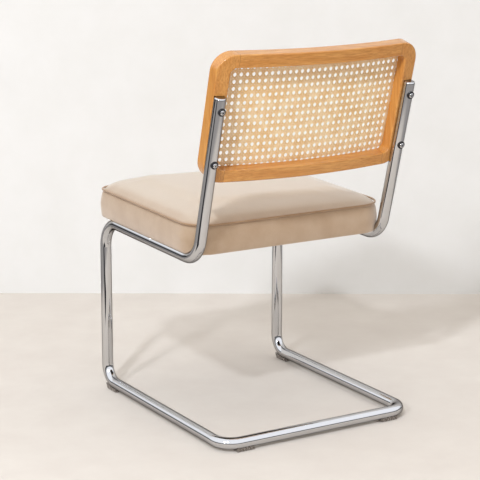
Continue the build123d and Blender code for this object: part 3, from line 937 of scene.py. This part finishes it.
def weave(strip, height_at):
    """Lifts each point of a laid strip by its weave, and pulls the sheet out of square."""
    places = points_of(strip)
    across = places[:, 0] / hole_across
    up = (places[:, 1] - line_up) / hole_up
    places[:, 2] += height_at(across, up)
    lower = (first_row - places[:, 1]) / (first_row - opening_low)
    row_shift = -row_tilt * places[:, 0]
    places[:, 0] = places[:, 0] * (1 - column_taper * lower) - column_drift * lower
    places[:, 1] += row_shift
    move_points(strip, places)


def bow(strip):
    """Bends a trimmed flat strip to the back's bow."""
    places = points_of(strip)
    arc = bow_radius - cane_depth + places[:, 2]
    places[:, 2] = -(bow_centre + np.sqrt(arc**2 - places[:, 0] ** 2))
    move_points(strip, places)


families = [
    (uprights, lambda across, up: pair_wave * np.cos(math.pi * (up + np.round(across)))),
    (crosswise, lambda across, up: -pair_wave * np.cos(math.pi * (across + np.round(up)))),
    (slants[0], lambda across, up: slant_wave * np.cos(2 * math.pi * across)),
    (slants[1], lambda across, up: -slant_wave * np.cos(2 * math.pi * across)),
]
for strip, height_at in families:
    weave(strip, height_at)
    trim_to_opening(strip)
    bow(strip)
print("woven:", len(families), "families of strands")

# %% [markdown]
# The four families are joined in one piece, which takes the place of the plain cane panel.

# %% Cane in one piece
bpy.ops.object.select_all(action="DESELECT")
for strip, _ in families:
    strip.select_set(True)
bpy.context.view_layer.objects.active = uprights
bpy.ops.object.join()
woven_cane = uprights
woven_cane.name = "woven_cane"
woven_cane.data.name = "woven_cane"
bpy.ops.object.mode_set(mode="EDIT")
bpy.ops.mesh.select_all(action="SELECT")
bpy.ops.mesh.normals_make_consistent(inside=False)
bpy.ops.object.mode_set(mode="OBJECT")
bpy.ops.object.shade_smooth_by_angle(angle=sharp_angle)
woven_cane.data.materials.clear()
woven_cane.data.materials.append(cane)
to_frame(woven_cane, back_frame)
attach(woven_cane, "root")
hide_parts("cane_panel")
print("woven cane:", len(woven_cane.data.polygons), "faces")

# %% [markdown]
# The camera looks from behind the chair's left shoulder, a little from above, with a long lens.
# It is set up before the studio, because the wall stands square to it.

# %% Camera
camera_place = Vector((1.91991, 3.09823, 1.22602))
camera_right = Vector((-0.85457, 0.51934, 0.00193))
camera_up = Vector((-0.11701, -0.19616, 0.97357))
camera_ahead = Vector((-0.50599, -0.83175, -0.2284))
photo_width = 480
focal_pixels = 1705.08
sensor = 36.0
bpy.ops.object.camera_add()
camera = bpy.context.object
camera.name = "photo_camera"
camera_turn = Matrix((camera_right, camera_up, -camera_ahead)).transposed().to_4x4()
camera.matrix_world = Matrix.Translation(camera_place) @ camera_turn
camera.data.sensor_width = sensor
camera.data.lens = focal_pixels / photo_width * sensor
bpy.context.scene.camera = camera
bpy.context.scene.view_settings.view_transform = "Standard"
print("lens", round(camera.data.lens, 1), "mm")

# %% [markdown]
# The floor is pale sealed screed, slightly mottled, and takes the chair's soft shadow.
# Chrome looks like chrome only beside something dark. So for reflected rays only, the floor is a painted
# reflection: it glows a flat grey outside the picture and a dark gloom far off.
# A painted dark strip there, as of a cloth laid beside the set, gives it a sharp line in reflections.

# %% Floor
floor_size = 14.0
mottle_size = 120 * mm
lit_floor_reach = 1.0
grey_floor_reach = 1.3
dark_floor_start = 2.8
dark_floor_reach = 3.6
dark_strip_start = 0.65
dark_strip_front = -0.1
dark_strip_rear = 0.52
strip_edge = 0.12


def studio_paint(name, deep, pale):
    """A pale matt surface with a faint mottle."""
    finish, tree, shader = new_finish(name, Roughness=0.8)
    shader.inputs["Specular IOR Level"].default_value = 0.2
    place = add_node(tree, "ShaderNodeTexCoord")
    mottle = add_node(
        tree,
        "ShaderNodeTexNoise",
        {"Vector": place.outputs["Object"], "Scale": 1 / mottle_size, "Detail": 5.0, "Roughness": 0.6},
    )
    share = add_node(
        tree, "ShaderNodeMapRange", {"Value": mottle.outputs["Fac"], "From Min": 0.3, "From Max": 0.7}
    )
    paint = add_node(
        tree,
        "ShaderNodeMix",
        {mix_share: share.outputs["Result"], mix_first: linear(deep), mix_second: linear(pale)},
        data_type="RGBA",
    )
    tree.links.new(paint.outputs[mix_result], shader.inputs["Base Color"])
    return finish, tree, shader


bpy.ops.object.select_all(action="DESELECT")
bpy.ops.mesh.primitive_plane_add(size=floor_size)
floor = bpy.context.object
floor.name = "studio_floor"
screed, tree, shader = studio_paint("sealed_pale_screed", "#DCD4CC", "#E2DBD3")
place = add_node(tree, "ShaderNodeTexCoord")
ground = add_node(tree, "ShaderNodeSeparateXYZ", {"Vector": place.outputs["Object"]})
far = add_node(tree, "ShaderNodeVectorMath", {0: place.outputs["Object"]}, operation="LENGTH")
strip_limits = [
    (ground.outputs["X"], dark_strip_start, dark_strip_start + strip_edge),
    (ground.outputs["Y"], dark_strip_front, dark_strip_front + strip_edge),
    (ground.outputs["Y"], dark_strip_rear, dark_strip_rear - strip_edge),
]
strip_share = 1.0
for reading, outside, inside in strip_limits:
    edge = add_node(
        tree, "ShaderNodeMapRange", {"Value": reading, "From Min": outside, "From Max": inside}
    )
    within = add_node(
        tree, "ShaderNodeMath", {0: strip_share, 1: edge.outputs["Result"]}, operation="MULTIPLY"
    )
    strip_share = within.outputs[0]
distance_shares = []
for nearer, further in ((lit_floor_reach, grey_floor_reach), (dark_floor_start, dark_floor_reach)):
    fade = add_node(
        tree,
        "ShaderNodeMapRange",
        {"Value": far.outputs["Value"], "From Min": nearer, "From Max": further},
        interpolation_type="SMOOTHSTEP",
    )
    distance_shares.append(fade.outputs["Result"])
grey_share, dark_share = distance_shares
distant = add_node(
    tree,
    "ShaderNodeMix",
    {mix_share: dark_share, mix_first: linear("#B4B0AE"), mix_second: linear("#2A2B30")},
    data_type="RGBA",
)
striped = add_node(
    tree,
    "ShaderNodeMix",
    {mix_share: strip_share, mix_first: distant.outputs[mix_result], mix_second: linear("#38383C")},
    data_type="RGBA",
)
# Painted reflection: where this share is set, glossy rays see a fixed grey or dark glow instead of the
# lit floor.
painted_reflection_share = add_node(tree, "ShaderNodeMath", {0: grey_share, 1: strip_share}, operation="MAXIMUM")
path = add_node(tree, "ShaderNodeLightPath")
mirrored = add_node(
    tree, "ShaderNodeMath", {0: path.outputs["Is Glossy Ray"], 1: painted_reflection_share.outputs[0]}, operation="MULTIPLY"
)
painted_reflection_glow = add_node(tree, "ShaderNodeEmission", {"Color": striped.outputs[mix_result], "Strength": 1.0})
either = add_node(
    tree,
    "ShaderNodeMixShader",
    {0: mirrored.outputs[0], 1: shader.outputs["BSDF"], 2: painted_reflection_glow.outputs["Emission"]},
)
tree.links.new(either.outputs["Shader"], tree.nodes["Material Output"].inputs["Surface"])
floor.data.materials.append(screed)
print("floor:", floor_size, "m square")

# %% [markdown]
# A pale painted wall stands some way behind the chair and takes its shadow too.
# It can be seen through from behind, so that the chair's front can be looked at as well.

# %% Wall
wall_distance = 4.575
wall_width = 3.0
wall_height = 4.0
upward = Vector((0, 0, 1))
level_ahead = Vector((camera_ahead.x, camera_ahead.y, 0)).normalized()
wall_foot = Vector((camera_place.x, camera_place.y, 0)) + level_ahead * wall_distance
wall_middle = wall_foot + upward * wall_height / 2
wall_turn = Matrix((level_ahead.cross(upward), upward, -level_ahead)).transposed().to_4x4()
wall_size = Matrix.Diagonal((wall_width, wall_height, 1, 1))
bpy.ops.mesh.primitive_plane_add(size=1)
wall = bpy.context.object
wall.name = "studio_wall"
wall.matrix_world = Matrix.Translation(wall_middle) @ wall_turn @ wall_size
bpy.ops.object.transform_apply(location=True, rotation=True, scale=True)
paint, tree, shader = studio_paint("pale_wall_paint", "#EEEDEA", "#F2F1EF")
side = add_node(tree, "ShaderNodeNewGeometry")
clear = add_node(tree, "ShaderNodeBsdfTransparent")
either = add_node(
    tree,
    "ShaderNodeMixShader",
    {0: side.outputs["Backfacing"], 1: shader.outputs["BSDF"], 2: clear.outputs["BSDF"]},
)
tree.links.new(either.outputs["Shader"], tree.nodes["Material Output"].inputs["Surface"])
wall.data.materials.append(paint)
print("wall stands", wall_distance, "m from the camera")

# %% [markdown]
# One lamp, high and left of the camera, makes the shadow on the floor.
# A lower, wider one makes the softer shadow on the wall.
# A photographer keeps the back's long shadow off the seat with a lamp of its own, set steeper than those.
# Light linking does that here: the seat lamp lights the seat alone, and the other two leave the seat out.

# %% Lamps
lamp_aim = Vector((0, 0, 0.4))
lamp_distance = 6.0


def add_lamp(name, direction, size, power, colour):
    """A round soft lamp that looks at the middle of the chair from a direction."""
    lamp_place = lamp_aim + direction.normalized() * lamp_distance
    bpy.ops.object.light_add(type="AREA", location=lamp_place)
    lamp = bpy.context.object
    lamp.name = name
    lamp.data.shape = "DISK"
    lamp.data.size = size
    lamp.data.energy = power
    lamp.data.color = linear(colour)[:3]
    lamp.rotation_euler = direction.to_track_quat("Z", "Y").to_euler()
    return lamp


def leave_out(lamp, pieces):
    """Links a lamp so that it lights everything but these pieces."""
    unlit_set = bpy.data.collections.new(f"not_lit_by_{lamp.name}")
    for piece in pieces:
        unlit_set.objects.link(piece)
    for member in unlit_set.collection_objects:
        member.light_linking.link_state = "EXCLUDE"
    lamp.light_linking.receiver_collection = unlit_set


key_lamp = add_lamp("key_lamp", Vector((0.9, 0.82, 1.0)), 0.36, 130, "#F0F7FF")
low_lamp = add_lamp("low_lamp", Vector((1.7, 0.99, 1.0)), 0.6, 108, "#F4F8FF")
seat_lamp = add_lamp("seat_lamp", Vector((0.6, 0.5, 1.0)), 0.5, 128, "#F0F7FF")
seat_pieces = [cushion, piping]
meshes = [piece for piece in bpy.context.scene.objects if piece.type == "MESH"]
leave_out(key_lamp, seat_pieces)
leave_out(low_lamp, seat_pieces)
leave_out(seat_lamp, [piece for piece in meshes if piece not in seat_pieces])
print("lamps:", key_lamp.name, low_lamp.name, seat_lamp.name)

# %% [markdown]
# The rest of the light comes from all round, slightly warm, as in a white room.
# It is stronger from above and weaker from the camera's side.
# In reflections the room is bright above and dark near the horizon, which gives the chrome its contrast.
# The camera itself sees a plain pale backdrop.

# %% Room light
room = bpy.data.worlds.new("white_room")
bpy.context.scene.world = room
room.use_nodes = True
tree = room.node_tree
tree.nodes.clear()
direction = add_node(tree, "ShaderNodeTexCoord")
height = add_node(tree, "ShaderNodeSeparateXYZ", {"Vector": direction.outputs["Generated"]})
window = add_node(
    tree,
    "ShaderNodeMapRange",
    {"Value": height.outputs["Z"], "From Min": 0.08, "From Max": 0.3, "To Min": 0.1, "To Max": 1.5},
    interpolation_type="SMOOTHSTEP",
)
overhead = add_node(
    tree,
    "ShaderNodeMapRange",
    {"Value": height.outputs["Z"], "To Min": 0.36, "To Max": 1.22},
)
toward_camera = add_node(
    tree,
    "ShaderNodeVectorMath",
    {0: direction.outputs["Generated"], 1: -level_ahead},
    operation="DOT_PRODUCT",
)
dark_side = add_node(
    tree,
    "ShaderNodeMapRange",
    {"Value": toward_camera.outputs["Value"], "To Min": 1.0, "To Max": 0.55},
)
soft_fill = add_node(
    tree,
    "ShaderNodeMath",
    {0: overhead.outputs["Result"], 1: dark_side.outputs["Result"]},
    operation="MULTIPLY",
)
path = add_node(tree, "ShaderNodeLightPath")
fill = add_node(
    tree, "ShaderNodeBackground", {"Color": linear("#FFFBF6"), "Strength": soft_fill.outputs[0]}
)
mirrored = add_node(
    tree, "ShaderNodeBackground", {"Color": linear("#F4F6FB"), "Strength": window.outputs["Result"]}
)
shown = add_node(tree, "ShaderNodeBackground", {"Color": linear("#F5F4F0"), "Strength": 1.0})
for_gloss = add_node(
    tree,
    "ShaderNodeMixShader",
    {0: path.outputs["Is Glossy Ray"], 1: fill.outputs["Background"], 2: mirrored.outputs["Background"]},
)
seen = add_node(
    tree,
    "ShaderNodeMath",
    {0: path.outputs["Is Camera Ray"], 1: path.outputs["Is Transmission Ray"]},
    operation="MAXIMUM",
)
for_camera = add_node(
    tree,
    "ShaderNodeMixShader",
    {0: seen.outputs[0], 1: for_gloss.outputs["Shader"], 2: shown.outputs["Background"]},
)
add_node(tree, "ShaderNodeOutputWorld", {"Surface": for_camera.outputs["Shader"]})
print("room light:", room.name)
